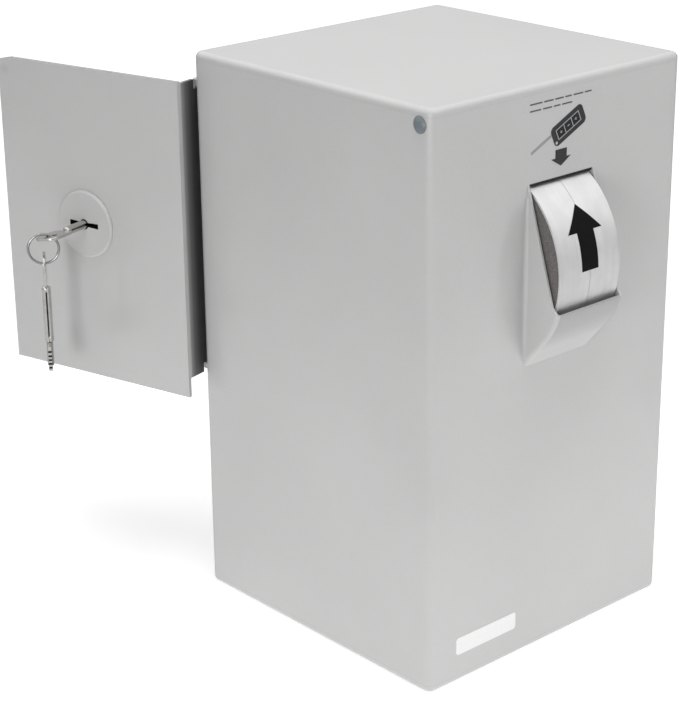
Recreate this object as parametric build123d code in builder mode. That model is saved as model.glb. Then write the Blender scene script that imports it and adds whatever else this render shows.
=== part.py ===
from build123d import *
import os
from math import atan, cos, radians, sin, sqrt, tan

# Key drop box: a painted sheet steel case whose front drum takes in keys and whose rear door lets them
# out. Millimetres. The origin is the centre of the underside, X points right as seen from the front,
# Y points to the rear and Z points up. The door is drawn as it stands open.

# ---- case ----
body_width = 175.0
body_depth = 175.0
body_height = 300.0
bend_radius = 5.0
rim_radius = 3.2  # ground welds round the top and bottom
sheet = 2.0
seam_inset = 4.0  # weld seams lie this far in from the top, bottom and rear faces
anchor_spacing = 110.0
anchor_radius = 4.5
mat_thickness = 2.5
mat_margin = 3.0
mat_hole_radius = 11.0
plug_from_front = 8.0
plug_from_top = 8.0
plug_head_radius = 4.3
plug_head_height = 1.7
plug_stem_radius = 2.8
plug_stem_length = 5.0

# ---- drum ----
drum_radius = 52.5
drum_width = 43.0
drum_proud = 20.5  # how far the drum stands out of the front face
drum_axis_from_top = 92.5
drum_skin = 1.0
drum_turn = 78.0
cover_low_angle = -30.0  # drum angles count upward from the front, about the drum's axis
cover_high_angle = 62.0
mouth_angle = 72.0  # opening of the pocket below the cover
lip_angle = 48.0
pocket_sheet = 1.0
pocket_floor_offset = 8.0
pocket_floor_width = 40.0
pocket_bend = 6.0
disc_thickness = 2.5
groove_width = 0.5
groove_depth = 0.2
axle_radius = 4.0
running_gap = 0.05
side_gap = 0.3
tie_radius = 3.0
tie_end_radius = 2.0
tie_orbit = 26.0
tie_spread_angle = 50.0
stop_pin_radius = 2.0
stop_pin_angle = 100.0
stop_gap = 0.3
arrow_thickness = 0.15
arrow_length = 32.8
arrow_head_length = 13.7
arrow_head_width = 23.8
arrow_shaft_width = 11.6
arrow_centre_angle = 20.4

# ---- drum hood and its carrier inside ----
slot_gap = 1.6
hood_side_gap = 1.0
hood_sheet = 1.2
hood_lip_reach = 21.8  # front edge of the hood's bottom; the heights are below the drum's axis
hood_lip_drop = 16.9
hood_rim_reach = 17.9  # where the slanted sides run into the lip
hood_rim_drop = 12.9
hood_rim_radius = 2.5
hood_knee_reach = 13.6
hood_knee_drop = 31.9
hood_foot_drop = 47.9
hood_edge_radius = 2.4
cheek_sheet = 2.0
cheek_gap = 2.8
cheek_radius = 57.5
cheek_flange = 16.0
cheek_flange_height = 100.0
bush_radius = 6.0
bush_flange_radius = 8.0
bush_proud = 0.5
clip_radius = 7.0
clip_thickness = 1.0
clip_gap = 0.3
clip_groove_depth = 0.8
clip_opening = 5.0
axle_end = 1.5
guard_gap = 3.0
guard_sheet = 1.5
guard_low_angle = 60.0
guard_high_angle = 215.0
stud_radius = 2.5
stud_length = 9.0
stud_rise = 35.0
stud_clearance = 0.25
nut_flats = 8.0
nut_height = 4.0

# ---- labels on the front ----
print_thickness = 0.1
label_thickness = 0.2
label_width = 43.0
label_height = 9.5
label_corner = 1.8
label_from_left = 40.3  # to its centre
label_from_bottom = 20.2
fob_length = 24.0
fob_width = 10.5
fob_corner = 2.6
fob_right = 4.0
fob_from_top = 23.1
fob_tilt = 25.0
fob_button = 4.6
fob_button_pitch = 5.6
fob_button_corner = 0.8
fob_eye_radius = 0.8
blade_length = 15.5
blade_width = 1.5
down_arrow_right = -0.7
down_arrow_from_top = 38.1
down_arrow_length = 8.4
down_arrow_head = 4.2
down_arrow_width = 14.0
down_arrow_shaft = 8.0

# ---- door and its hinge, behind the case ----
hinge_from_side = 7.5
hinge_from_rear = 4.0
door_open_angle = 104.4
door_width = 122.4
door_bottom = 113.5
door_from_top = 14.0
door_stand = 20.0  # outer face of the door from the hinge axis
corner_cut_along = 8.5
corner_cut_down = 2.0
flange_rise = 10.5
flange_drop = 1.2
flange_foot = 2.0
hinge_inset = 5.0  # the lugs stand in notches at the flange's ends
hinge_notch = 6.5
knuckle_radius = 3.2
knuckle_length = 20.0
hinge_pin_radius = 2.0
washer_thickness = 0.8
washer_gap = 0.3
lug_thickness = 3.0
lug_radius = 3.4
collar_gap = 3.5  # from the door's hinge flange to the collar
collar_under_side = 3.4
collar_under_top = 8.0
collar_under_bottom = 6.5
collar_to_door = 0.8
buffer_length = 8.0
buffer_width = 3.0
buffer_thickness = 0.5
buffer_inset = 20.0

# ---- lock on the door ----
key_from_edge = 66.0
key_from_top = 99.5
rosette_radius = 18.5
rosette_thickness = 2.0
rosette_bevel = 1.1
keyhole_length = 19.6
keyhole_waist = 2.0
keyhole_flare = 3.0
keyhole_centre_radius = 2.9
lock_width = 64.0
lock_height = 56.0
lock_wall = 2.0
lock_depth = 28.5
lock_shift = 6.7  # centre of the case from the key, away from the hinge
lock_boss_radius = 4.6
lock_boss_inset = 6.0
lock_cover_sheet = 1.5
lock_screw_radius = 1.5
lock_screw_head = 2.8
lock_screw_head_height = 1.8
lock_screw_length = 14.0
bolt_height = 18.0
bolt_thickness = 5.0
bolt_from_panel = 11.0
bolt_gap = 0.3
bolt_tip_gap = 0.8
talon_radius = 10.0
strike_gap = 1.0
lever_count = 3
lever_thickness = 1.0
lever_pitch = 1.5
lever_from_cover = 2.2
lever_height = 32.0
lever_reach_left = 14.5
lever_reach_right = 33.5
lever_window_radius = 12.5
lever_post_radius = 2.0
lever_post_along = 29.5
lever_post_up = 13.0

# ---- keys and ring ----
shank_radius = 2.4
shank_out = 17.0  # from the door's outer face to the bow
shank_length = 31.0
shank_into_bow = 0.5
bow_length = 18.5
bow_width = 15.0
bow_thickness = 1.5
bow_corner = 5.0
bow_hole_radius = 2.8
bow_hole_from_end = 7.4
bit_length = 14.0
bit_width = 18.0
bit_thickness = 2.0
bit_core_radius = 1.8
bit_notches = ((1.4, 2.0), (3.6, 4.2), (5.8, 1.4), (8.0, 3.4), (10.4, 2.4))  # place along the bit, depth
notch_width = 1.1
key_turn_angle = 10.0  # the key is drawn turned this far from the keyhole's wings
ring_wire_radius = 0.7
ring_radius = 8.1
ring_turn_angle = 49.0  # the ring's plane, turned from the key's own line
ring_clearance = 0.3
hang_gap = 0.3

# ---- places worked out from the sizes above ----
front_y = -body_depth / 2
rear_y = body_depth / 2
inner_front_y = front_y + sheet
drum_axis_y = front_y - drum_proud + drum_radius
drum_axis_height = body_height - drum_axis_from_top
drum_centre = (drum_axis_y, drum_axis_height)
shell_inner_radius = drum_radius - drum_skin
disc_outer_x = drum_width / 2
disc_inner_x = disc_outer_x - disc_thickness
cheek_inner_x = disc_outer_x + cheek_gap
cheek_outer_x = cheek_inner_x + cheek_sheet
clip_x = cheek_outer_x + bush_proud + clip_gap
axle_end_x = clip_x + clip_thickness + axle_end
slot_half_width = disc_outer_x + hood_side_gap
hood_half_width = slot_half_width + hood_sheet
slot_top = drum_axis_height + sqrt((drum_radius + slot_gap) ** 2 - (drum_axis_y - inner_front_y) ** 2)
hood_foot_height = drum_axis_height - hood_foot_drop
hood_slope = (hood_foot_drop - hood_knee_drop) / hood_knee_reach
slot_bottom = hood_foot_height + hood_sheet * sqrt(1 + hood_slope**2)
mouth_middle = cover_low_angle - mouth_angle / 2
lip_high_angle = cover_low_angle - mouth_angle

hinge_x = -body_width / 2 + hinge_from_side
hinge_y = rear_y + hinge_from_rear
door_top = body_height - door_from_top
flange_bottom = door_bottom + flange_rise
flange_top = door_top - flange_drop
panel_near = -sheet / 2  # along the door from the hinge axis
panel_far = panel_near + door_width
panel_inner = door_stand - sheet
collar_left = hinge_x + sheet / 2 + collar_gap
collar_right = hinge_x + panel_far - collar_under_side
collar_bottom = door_bottom + collar_under_bottom
collar_top = door_top - collar_under_top
collar_rear = hinge_y + panel_inner - collar_to_door

key_along = panel_near + key_from_edge
key_height = body_height - key_from_top
lock_near = key_along + lock_shift - lock_width / 2
lock_far = lock_near + lock_width
lock_open_face = panel_inner - lock_depth
bolt_outer = panel_inner - bolt_from_panel
bolt_inner = bolt_outer - bolt_thickness
bolt_tip = panel_far - collar_under_side - sheet - bolt_tip_gap
bow_start = door_stand + shank_out
bow_end = bow_start + bow_length
key_tip = bow_start - shank_length - bit_length

os.makedirs("parts", exist_ok=True)


def finish(name, piece):
    """Labels a finished piece and writes it to its own file."""
    piece.part.label = name
    export_step(piece.part, "parts/" + name + ".step")


def drum_point(radius, angle):
    """A point (y, z) about the drum's axis, its angle counted upward from the front."""
    return (
        drum_axis_y - radius * cos(radians(angle)),
        drum_axis_height + radius * sin(radians(angle)),
    )


def drum_sector(inner, outer, low, high):
    """A slice of a ring about the drum's axis, on the plane x = 0."""
    with BuildSketch(Plane.YZ) as sector:
        with BuildLine():
            CenterArc(drum_centre, outer, 180 - high, high - low)
            CenterArc(drum_centre, inner, 180 - high, high - low)
            Line(drum_point(inner, low), drum_point(outer, low))
            Line(drum_point(inner, high), drum_point(outer, high))
        make_face()
    return sector.sketch


def door_plane(along, out, up, facing):
    """A plane on the open door: along it from the hinge, out of its face, and up.

    facing "up" has local X along the door and local Y out of it. facing "out" has local X along the
    door and local Y up, turned over so that its normal points out of the door's face.
    """
    turn = radians(door_open_angle)
    along_dir = Vector(cos(turn), sin(turn), 0)
    out_dir = Vector(-sin(turn), cos(turn), 0)
    origin = Vector(hinge_x, hinge_y, up) + along_dir * along + out_dir * out
    if facing == "up":
        return Plane(origin=origin, x_dir=along_dir, z_dir=(0, 0, 1))
    return Plane(origin=origin, x_dir=along_dir * -1, z_dir=out_dir)


# ==== case: one hollow form, parted along its weld seams ====

with BuildPart() as cavity:
    with Locations((0, 0, body_height / 2)):
        Box(body_width - 2 * sheet, body_depth - 2 * sheet, body_height - 2 * sheet)
    fillet(cavity.edges().filter_by(Axis.Z), bend_radius - sheet)

with BuildPart() as hollow_case:
    with Locations((0, 0, body_height / 2)):
        Box(body_width, body_depth, body_height)
    fillet(hollow_case.edges().filter_by(Axis.Z), bend_radius)
    fillet(hollow_case.edges().group_by(Axis.Z)[0] + hollow_case.edges().group_by(Axis.Z)[-1], rim_radius)
    add(cavity.part, mode=Mode.SUBTRACT)

top_seam = Plane.XY.offset(body_height - seam_inset)
bottom_seam = Plane.XY.offset(seam_inset)
rear_seam = Plane.XZ.offset(-(rear_y - seam_inset))

# Front and sides, bent from one sheet, with the drum's window and the plug's hole.
with BuildPart() as body_wrap:
    add(hollow_case.part)
    split(bisect_by=top_seam, keep=Keep.BOTTOM)
    split(bisect_by=bottom_seam, keep=Keep.TOP)
    split(bisect_by=rear_seam, keep=Keep.TOP)
    with Locations((0, front_y + sheet / 2, (slot_top + slot_bottom) / 2)):
        Box(2 * slot_half_width, sheet, slot_top - slot_bottom, mode=Mode.SUBTRACT)
    with BuildSketch(Plane.YZ.offset(-body_width / 2)):
        with Locations((front_y + plug_from_front, body_height - plug_from_top)):
            Circle(plug_stem_radius)
    extrude(amount=sheet, mode=Mode.SUBTRACT)
finish("body_wrap", body_wrap)

with BuildPart() as top_plate:
    add(hollow_case.part)
    split(bisect_by=top_seam, keep=Keep.TOP)
finish("top_plate", top_plate)

# Bottom plate with four holes for anchor bolts.
with BuildPart() as bottom_plate:
    add(hollow_case.part)
    split(bisect_by=bottom_seam, keep=Keep.BOTTOM)
    with BuildSketch(Plane.XY):
        with GridLocations(anchor_spacing, anchor_spacing, 2, 2):
            Circle(anchor_radius)
    extrude(amount=sheet, mode=Mode.SUBTRACT)
finish("bottom_plate", bottom_plate)

# Rear plate, cut out for the collar of the door.
with BuildPart() as rear_plate:
    add(hollow_case.part)
    split(bisect_by=top_seam, keep=Keep.BOTTOM)
    split(bisect_by=bottom_seam, keep=Keep.TOP)
    split(bisect_by=rear_seam, keep=Keep.BOTTOM)
    with Locations(((collar_left + collar_right) / 2, rear_y, (collar_bottom + collar_top) / 2)):
        Box(collar_right - collar_left, 4 * sheet, collar_top - collar_bottom, mode=Mode.SUBTRACT)
finish("rear_plate", rear_plate)

# Raised frame round the door opening, welded into the rear plate, slotted for the lock's bolt.
with BuildPart() as door_collar:
    with BuildSketch(Plane.XZ.offset(-(rear_y - sheet))):
        with Locations(((collar_left + collar_right) / 2, (collar_bottom + collar_top) / 2)):
            Rectangle(collar_right - collar_left, collar_top - collar_bottom)
            Rectangle(
                collar_right - collar_left - 2 * sheet,
                collar_top - collar_bottom - 2 * sheet,
                mode=Mode.SUBTRACT,
            )
    extrude(amount=-(collar_rear - rear_y + sheet))
    with Locations((collar_right - sheet / 2, hinge_y + (bolt_inner + bolt_outer) / 2, key_height)):
        Box(sheet, bolt_thickness + 2 * strike_gap, bolt_height + 2 * strike_gap, mode=Mode.SUBTRACT)
finish("door_collar", door_collar)

# Foam mat on the floor, holed over the anchor bolts.
with BuildPart() as floor_mat:
    with BuildSketch(Plane.XY.offset(sheet)):
        RectangleRounded(
            body_width - 2 * sheet - 2 * mat_margin, body_depth - 2 * sheet - 2 * mat_margin, bend_radius
        )
        with GridLocations(anchor_spacing, anchor_spacing, 2, 2):
            Circle(mat_hole_radius, mode=Mode.SUBTRACT)
    extrude(amount=mat_thickness)
finish("floor_mat", floor_mat)

# Push-in plug near the top of the left side: a shallow dome on a stem.
with BuildPart() as hole_plug:
    with BuildSketch(Plane.XY.offset(body_height - plug_from_top)):
        with BuildLine():
            face_x = -body_width / 2
            plug_y = front_y + plug_from_front
            Polyline(
                (face_x - plug_head_height, plug_y),
                (face_x + plug_stem_length, plug_y),
                (face_x + plug_stem_length, plug_y + plug_stem_radius),
                (face_x, plug_y + plug_stem_radius),
                (face_x, plug_y + plug_head_radius),
            )
            RadiusArc(
                (face_x, plug_y + plug_head_radius),
                (face_x - plug_head_height, plug_y),
                -(plug_head_radius**2 + plug_head_height**2) / (2 * plug_head_height),
            )
        make_face()
    revolve(axis=Axis((0, front_y + plug_from_front, body_height - plug_from_top), (1, 0, 0)))
finish("hole_plug", hole_plug)

# ==== hood: welded over the window, open along its slanted rim ====

with BuildPart() as drum_hood:
    with BuildSketch(Plane.YZ) as drum_hood_side:
        with BuildLine():
            lip = (front_y - hood_lip_reach, drum_axis_height - hood_lip_drop)
            rim = (front_y - hood_rim_reach, drum_axis_height - hood_rim_drop)
            knee = (front_y - hood_knee_reach, drum_axis_height - hood_knee_drop)
            foot = (front_y, hood_foot_height)
            Polyline(lip, rim, (front_y, slot_top), foot, knee)
            TangentArc(knee, lip, tangent=(knee[0] - foot[0], knee[1] - foot[1]))
        make_face()
        fillet(drum_hood_side.vertices().sort_by_distance(rim)[0], hood_rim_radius)
    extrude(amount=hood_half_width, both=True)
    underside = [
        edge
        for side in (drum_hood.edges().group_by(Axis.X)[0], drum_hood.edges().group_by(Axis.X)[-1])
        for edge in side.sort_by(Axis.Z)[:2]
    ]
    fillet(underside, hood_edge_radius)
    open_faces = [face for face in drum_hood.faces() if face.normal_at().Y < -0.1 and face.normal_at().Z > 0.1]
    offset(amount=-hood_sheet, openings=open_faces + [drum_hood.faces().sort_by(Axis.Y)[-1]])
finish("drum_hood", drum_hood)

# ==== drum: a curved cover and a pocket between two discs, turning on an axle ====

with BuildPart() as drum_cover:
    cover_arc = drum_sector(shell_inner_radius, drum_radius, cover_low_angle, cover_high_angle)
    extrude(cover_arc, amount=disc_outer_x, both=True)
    groove_arc = drum_sector(drum_radius - groove_depth, drum_radius + 1, cover_low_angle, cover_high_angle)
    extrude(groove_arc, amount=groove_width / 2, both=True, mode=Mode.SUBTRACT)
finish("drum_cover", drum_cover)


def pocket_point(across, deep):
    """A point (y, z) across the mouth of the pocket, deep towards the drum's axis from it."""
    middle = radians(mouth_middle)
    return (
        drum_axis_y - deep * cos(middle) + across * sin(middle),
        drum_axis_height + deep * sin(middle) + across * cos(middle),
    )


# Trough that holds the key, and the curved lip that closes the window below it when it is open.
with BuildPart() as drum_pocket:
    with BuildSketch(Plane.YZ):
        with BuildLine():
            FilletPolyline(
                drum_point(drum_radius, cover_low_angle + 1.5),
                pocket_point(pocket_floor_width / 2, pocket_floor_offset),
                pocket_point(-pocket_floor_width / 2, pocket_floor_offset),
                drum_point(drum_radius, lip_high_angle - 1.5),
                radius=pocket_bend,
            )
            offset(amount=pocket_sheet / 2, side=Side.BOTH)
        make_face()
        with Locations(drum_centre):
            Circle(shell_inner_radius, mode=Mode.INTERSECT)
    extrude(amount=disc_inner_x, both=True)
    lip_arc = drum_sector(shell_inner_radius, drum_radius, lip_high_angle - lip_angle, lip_high_angle)
    extrude(lip_arc, amount=disc_outer_x, both=True)
finish("drum_pocket", drum_pocket)

tie_places = [drum_point(tie_orbit, mouth_middle + 180 + turn) for turn in (-tie_spread_angle, tie_spread_angle)]
for side, name in ((-1, "drum_disc_left"), (1, "drum_disc_right")):
    with BuildPart() as drum_disc:
        with BuildSketch(Plane.YZ.offset(side * disc_inner_x)):
            with Locations(drum_centre):
                Circle(shell_inner_radius)
                Circle(axle_radius, mode=Mode.SUBTRACT)
            with Locations(tie_places):
                Circle(tie_end_radius, mode=Mode.SUBTRACT)
            if side < 0:
                with Locations(drum_point(tie_orbit, stop_pin_angle)):
                    Circle(stop_pin_radius, mode=Mode.SUBTRACT)
        extrude(amount=side * disc_thickness)
    finish(name, drum_disc)

# Two bars that hold the discs apart, their thinner ends riveted in the discs.
with BuildPart() as drum_tie_bars:
    with BuildSketch(Plane.YZ):
        with Locations(tie_places):
            Circle(tie_radius)
    extrude(amount=disc_inner_x, both=True)
    with BuildSketch(Plane.YZ):
        with Locations(tie_places):
            Circle(tie_end_radius)
    extrude(amount=disc_outer_x, both=True)
finish("drum_tie_bars", drum_tie_bars)

with BuildPart() as drum_axle:
    with BuildSketch(Plane.YZ):
        with Locations(drum_centre):
            Circle(axle_radius)
    extrude(amount=axle_end_x, both=True)
    for side in (-1, 1):
        with BuildSketch(Plane.YZ.offset(side * clip_x)):
            with Locations(drum_centre):
                Circle(axle_radius + 1)
                Circle(axle_radius - clip_groove_depth, mode=Mode.SUBTRACT)
        extrude(amount=side * clip_thickness, mode=Mode.SUBTRACT)
    chamfer(drum_axle.edges().group_by(Axis.X)[0] + drum_axle.edges().group_by(Axis.X)[-1], 0.5)
finish("drum_axle", drum_axle)

# Open spring clips that keep the axle in its bushes.
with BuildPart() as axle_clips:
    for side in (-1, 1):
        with BuildSketch(Plane.YZ.offset(side * clip_x)):
            with Locations(drum_centre):
                Circle(clip_radius)
                Circle(axle_radius - clip_groove_depth, mode=Mode.SUBTRACT)
            with Locations((drum_axis_y, drum_axis_height - clip_radius / 2)):
                Rectangle(clip_opening, clip_radius, mode=Mode.SUBTRACT)
        extrude(amount=side * clip_thickness)
finish("axle_clips", axle_clips)

# Pin on the left disc that runs in the carrier's curved slot and stops the drum at both ends.
with BuildPart() as drum_stop_pin:
    with BuildSketch(Plane.YZ.offset(-disc_inner_x)):
        with Locations(drum_point(tie_orbit, stop_pin_angle)):
            Circle(stop_pin_radius)
    extrude(amount=-(disc_thickness + cheek_gap + cheek_sheet))
finish("drum_stop_pin", drum_stop_pin)

# Up arrow, cut from film and stuck round the cover.
film_outer_radius = drum_radius + arrow_thickness
with BuildPart() as film_sleeve:
    film_arc = drum_sector(drum_radius, film_outer_radius, cover_low_angle, cover_high_angle)
    extrude(film_arc, amount=disc_outer_x, both=True)

arrow_lean = radians(arrow_centre_angle)
arrow_plane = Plane(
    origin=(0, drum_axis_y, drum_axis_height),
    x_dir=(1, 0, 0),
    z_dir=(0, -cos(arrow_lean), sin(arrow_lean)),
)
with BuildPart() as drum_arrow:
    with BuildSketch(arrow_plane):
        with BuildLine():
            arrow_neck = arrow_length / 2 - arrow_head_length
            Polyline(
                (0, arrow_length / 2),
                (arrow_head_width / 2, arrow_neck),
                (arrow_shaft_width / 2, arrow_neck),
                (arrow_shaft_width / 2, -arrow_length / 2),
                (-arrow_shaft_width / 2, -arrow_length / 2),
                (-arrow_shaft_width / 2, arrow_neck),
                (-arrow_head_width / 2, arrow_neck),
                close=True,
            )
        make_face()
    extrude(amount=drum_radius + 1)
    add(film_sleeve.part, mode=Mode.INTERSECT)
finish("drum_arrow", drum_arrow)

# ==== carrier of the drum, on studs behind the front wall ====

stop_path = CenterArc(drum_centre, tie_orbit, 180 - stop_pin_angle - drum_turn, drum_turn)
stud_x = (cheek_outer_x + cheek_flange + cheek_inner_x) / 2
stud_places = [
    (side * stud_x, drum_axis_height + up) for side in (-1, 1) for up in (-stud_rise, stud_rise)
]
for side, name in ((-1, "cheek_left"), (1, "cheek_right")):
    with BuildPart() as cheek:
        with BuildSketch(Plane.YZ.offset(side * cheek_inner_x)):
            with Locations(drum_centre):
                Circle(cheek_radius)
            with Locations(((inner_front_y + drum_axis_y) / 2, drum_axis_height)):
                Rectangle(drum_axis_y - inner_front_y, cheek_flange_height)
            with Locations((inner_front_y - cheek_radius, drum_axis_height)):
                Rectangle(2 * cheek_radius, 3 * cheek_radius, mode=Mode.SUBTRACT)
            with Locations(drum_centre):
                Circle(bush_radius, mode=Mode.SUBTRACT)
            if side < 0:
                SlotArc(stop_path, 2 * (stop_pin_radius + stop_gap), mode=Mode.SUBTRACT)
        extrude(amount=side * cheek_sheet)
        with BuildSketch(Plane.XZ.offset(-inner_front_y)):
            with Locations((side * (cheek_inner_x + cheek_flange / 2), drum_axis_height)):
                Rectangle(cheek_flange, cheek_flange_height)
            with Locations(stud_places):
                Circle(stud_radius + stud_clearance, mode=Mode.SUBTRACT)
        extrude(amount=-cheek_sheet)
    finish(name, cheek)

# Bearing bushes in the cheeks, flanged towards the drum.
for side, name in ((-1, "axle_bush_left"), (1, "axle_bush_right")):
    with BuildPart() as axle_bush:
        with BuildSketch(Plane.YZ.offset(side * (disc_outer_x + side_gap))):
            with Locations(drum_centre):
                Circle(bush_flange_radius)
        extrude(amount=side * (cheek_gap - side_gap))
        with BuildSketch(Plane.YZ.offset(side * cheek_inner_x)):
            with Locations(drum_centre):
                Circle(bush_radius)
        extrude(amount=side * (cheek_sheet + bush_proud))
        with BuildSketch(Plane.YZ):
            with Locations(drum_centre):
                Circle(axle_radius + running_gap)
        extrude(amount=side * axle_end_x, mode=Mode.SUBTRACT)
    finish(name, axle_bush)

# Curved shield between the cheeks that keeps tools out over the top of the drum.
guard_radius = drum_radius + guard_gap
with BuildPart() as drum_guard:
    guard_arc = drum_sector(guard_radius, guard_radius + guard_sheet, guard_low_angle, guard_high_angle)
    extrude(guard_arc, amount=cheek_inner_x, both=True)
finish("drum_guard", drum_guard)

with BuildPart() as carrier_studs:
    with BuildSketch(Plane.XZ.offset(-inner_front_y)):
        with Locations(stud_places):
            Circle(stud_radius)
    extrude(amount=-stud_length)
finish("carrier_studs", carrier_studs)

with BuildPart() as carrier_nuts:
    with BuildSketch(Plane.XZ.offset(-(inner_front_y + cheek_sheet))):
        with Locations(stud_places):
            RegularPolygon(nut_flats / 2, 6, major_radius=False)
            Circle(stud_radius, mode=Mode.SUBTRACT)
    extrude(amount=-nut_height)
finish("carrier_nuts", carrier_nuts)

# ==== labels ====

front_plane = Plane(origin=(0, front_y, 0), x_dir=(1, 0, 0), z_dir=(0, -1, 0))

with BuildPart() as front_label:
    with BuildSketch(front_plane):
        with Locations((-body_width / 2 + label_from_left, label_from_bottom)):
            RectangleRounded(label_width, label_height, label_corner)
    extrude(amount=label_thickness)
finish("front_label", front_label)

fob_centre = (fob_right, body_height - fob_from_top)
down_arrow_centre = (down_arrow_right, body_height - down_arrow_from_top)

# Printed drawing of a car key's fob with three plain buttons, and an arrow down to the drum.
with BuildPart() as fob_print:
    with BuildSketch(front_plane):
        with Locations(Location((fob_centre[0], fob_centre[1], 0), (0, 0, fob_tilt))):
            RectangleRounded(fob_length, fob_width, fob_corner)
            with GridLocations(fob_button_pitch, 1, 3, 1):
                RectangleRounded(fob_button, fob_button, fob_button_corner, mode=Mode.SUBTRACT)
            with Locations((-fob_length / 2 + 2 * fob_eye_radius, -fob_width / 2 + 2.4 * fob_eye_radius)):
                Circle(fob_eye_radius, mode=Mode.SUBTRACT)
    extrude(amount=print_thickness)
finish("fob_print", fob_print)

with BuildPart() as blade_print:
    with BuildSketch(front_plane):
        with Locations(Location((fob_centre[0], fob_centre[1], 0), (0, 0, fob_tilt))):
            with Locations((-fob_length / 2 - blade_length / 2, fob_width / 2 - 2 * blade_width)):
                Rectangle(blade_length, blade_width)
    extrude(amount=print_thickness)
finish("blade_print", blade_print)

with BuildPart() as down_arrow_print:
    with BuildSketch(front_plane):
        with BuildLine():
            tip_z = down_arrow_centre[1] - down_arrow_length / 2
            Polyline(
                (down_arrow_centre[0], tip_z),
                (down_arrow_centre[0] + down_arrow_width / 2, tip_z + down_arrow_head),
                (down_arrow_centre[0] + down_arrow_shaft / 2, tip_z + down_arrow_head),
                (down_arrow_centre[0] + down_arrow_shaft / 2, tip_z + down_arrow_length),
                (down_arrow_centre[0] - down_arrow_shaft / 2, tip_z + down_arrow_length),
                (down_arrow_centre[0] - down_arrow_shaft / 2, tip_z + down_arrow_head),
                (down_arrow_centre[0] - down_arrow_width / 2, tip_z + down_arrow_head),
                close=True,
            )
        make_face()
    extrude(amount=print_thickness)
finish("down_arrow_print", down_arrow_print)

# ==== door: a panel with a flange bent in along the hinge ====

knuckle_bottoms = (flange_bottom + hinge_inset, flange_top - hinge_inset - knuckle_length)

with BuildPart() as door_panel:
    with BuildSketch(door_plane(0, 0, door_bottom, "up")):
        with Locations(((panel_near + panel_far) / 2, (panel_inner + door_stand) / 2)):
            Rectangle(door_width, sheet)
    extrude(amount=door_top - door_bottom)
    with BuildSketch(door_plane(0, 0, flange_bottom, "up")):
        with Locations((0, (flange_foot + panel_inner) / 2)):
            Rectangle(sheet, panel_inner - flange_foot)
    extrude(amount=flange_top - flange_bottom)
    for bottom in knuckle_bottoms:
        with BuildSketch(door_plane(0, 0, bottom, "up")):
            Circle(knuckle_radius)
        extrude(amount=knuckle_length, mode=Mode.SUBTRACT)
    for bottom in (flange_bottom, flange_top - hinge_inset):
        with BuildSketch(door_plane(0, 0, bottom, "up")):
            with Locations((0, hinge_notch / 2)):
                Rectangle(2 * sheet, hinge_notch)
        extrude(amount=hinge_inset, mode=Mode.SUBTRACT)
    with BuildSketch(door_plane(0, door_stand, 0, "out")):
        with BuildLine():
            Polyline(
                (-panel_far, door_top),
                (-panel_far + corner_cut_along, door_top),
                (-panel_far, door_top - corner_cut_down),
                close=True,
            )
        make_face()
        with Locations((-key_along, key_height)):
            Circle(keyhole_centre_radius)
            Rectangle(keyhole_length, keyhole_flare)
    extrude(amount=-sheet, mode=Mode.SUBTRACT)
finish("door_panel", door_panel)

with BuildPart() as door_knuckles:
    for bottom in knuckle_bottoms:
        with BuildSketch(door_plane(0, 0, bottom, "up")):
            Circle(knuckle_radius)
            Circle(hinge_pin_radius + running_gap, mode=Mode.SUBTRACT)
        extrude(amount=knuckle_length)
finish("door_knuckles", door_knuckles)

washer_room = washer_thickness + washer_gap
lug_lower_top = flange_bottom + hinge_inset - washer_room
lug_upper_bottom = flange_top - hinge_inset + washer_room
for name, bottom in (
    ("hinge_lug_lower", lug_lower_top - lug_thickness),
    ("hinge_lug_upper", lug_upper_bottom),
):
    with BuildPart() as hinge_lug:
        with BuildSketch(Plane.XY.offset(bottom)):
            with Locations((hinge_x, hinge_y)):
                Circle(lug_radius)
            with Locations((hinge_x, (rear_y + hinge_y) / 2)):
                Rectangle(2 * lug_radius, hinge_from_rear)
            with Locations((hinge_x, hinge_y)):
                Circle(hinge_pin_radius, mode=Mode.SUBTRACT)
        extrude(amount=lug_thickness)
    finish(name, hinge_lug)

pin_length = lug_thickness + washer_room + knuckle_length - 2.0
with BuildPart() as hinge_pins:
    for bottom in (lug_lower_top - lug_thickness, lug_upper_bottom + lug_thickness - pin_length):
        with BuildSketch(Plane.XY.offset(bottom)):
            with Locations((hinge_x, hinge_y)):
                Circle(hinge_pin_radius)
        extrude(amount=pin_length)
finish("hinge_pins", hinge_pins)

with BuildPart() as hinge_washers:
    for bottom in (lug_lower_top, lug_upper_bottom - washer_thickness):
        with BuildSketch(Plane.XY.offset(bottom)):
            with Locations((hinge_x, hinge_y)):
                Circle(knuckle_radius)
                Circle(hinge_pin_radius, mode=Mode.SUBTRACT)
        extrude(amount=washer_thickness)
finish("hinge_washers", hinge_washers)

# Thin rubber strips inside the door that meet the collar's rear edge.
buffer_places = [
    (-along, up)
    for along in (collar_left - hinge_x + sheet / 2, collar_right - hinge_x - sheet / 2)
    for up in (collar_bottom + buffer_inset, collar_top - buffer_inset)
]
with BuildPart() as door_buffers:
    with BuildSketch(door_plane(0, panel_inner, 0, "out")):
        with Locations(buffer_places):
            Rectangle(buffer_width, buffer_length)
    extrude(amount=-buffer_thickness)
finish("door_buffers", door_buffers)

# ==== lock ====


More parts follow.
